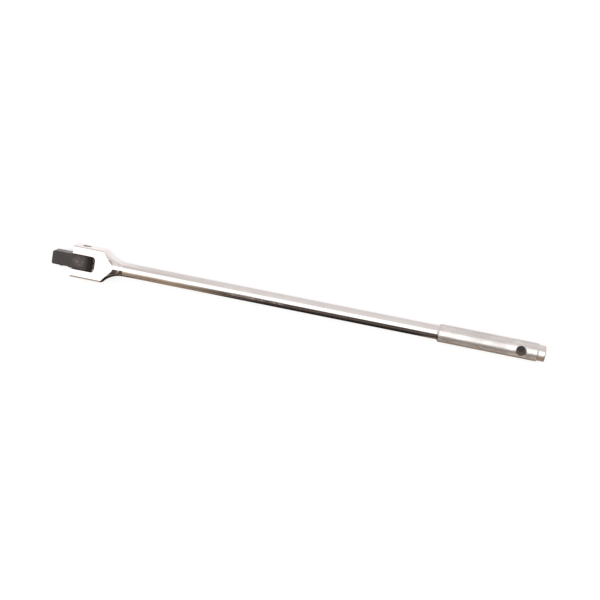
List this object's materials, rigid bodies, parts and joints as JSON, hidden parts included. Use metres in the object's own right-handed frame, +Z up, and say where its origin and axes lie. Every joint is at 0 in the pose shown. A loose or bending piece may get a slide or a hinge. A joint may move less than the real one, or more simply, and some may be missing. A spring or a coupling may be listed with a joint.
{
  "type": "flex-head breaker bar",
  "caption": "Long chromed bar handle with a knurled grip and a fork that carries a hinged square drive tang.",
  "frame": {"origin": "under the middle of the bar's length, on the surface that it lies on", "axes": "+X along the bar towards the grip, +Y along the hinge pin, +Z up out of the fork's flat"},
  "size_m": [0.4572, 0.03, 0.0163],
  "materials": {
    "chrome_plate": "polished chrome plate, knurled on the grip",
    "black_oxide": "satin black oxide on forged steel",
    "dark_pin": "oiled black steel",
    "ball_steel": "polished hardened steel",
    "spring_steel": "drawn spring wire"
  },
  "bodies": {
    "handle": {"handle": "chrome_plate", "hinge_pin": "dark_pin", "friction_spring": "spring_steel"},
    "drive_tang": {"drive_tang": "black_oxide", "socket_ball_spring": "spring_steel"},
    "friction_plunger": {"friction_plunger": "ball_steel"},
    "socket_ball": {"socket_ball": "ball_steel"}
  },
  "joints": [
    {"name": "head_hinge", "type": "hinge", "parent": "handle", "child": "drive_tang", "pos_m": [-0.1981, 0, 0.00815], "axis": [0, 1, 0], "range_deg": [-109, 109]},
    {"name": "friction_plunger_slide", "type": "slide", "parent": "handle", "child": "friction_plunger", "axis": [1, 0, 0], "range_m": [0, 0.0008], "stiffness_N_per_m": 4000, "springref_m": -0.001, "deforming": ["friction_spring"]},
    {"name": "socket_ball_slide", "type": "slide", "parent": "drive_tang", "child": "socket_ball", "axis": [0, 1, 0], "range_m": [0, 0.0019], "stiffness_N_per_m": 4000, "springref_m": -0.001, "deforming": ["socket_ball_spring"]}
  ]
}
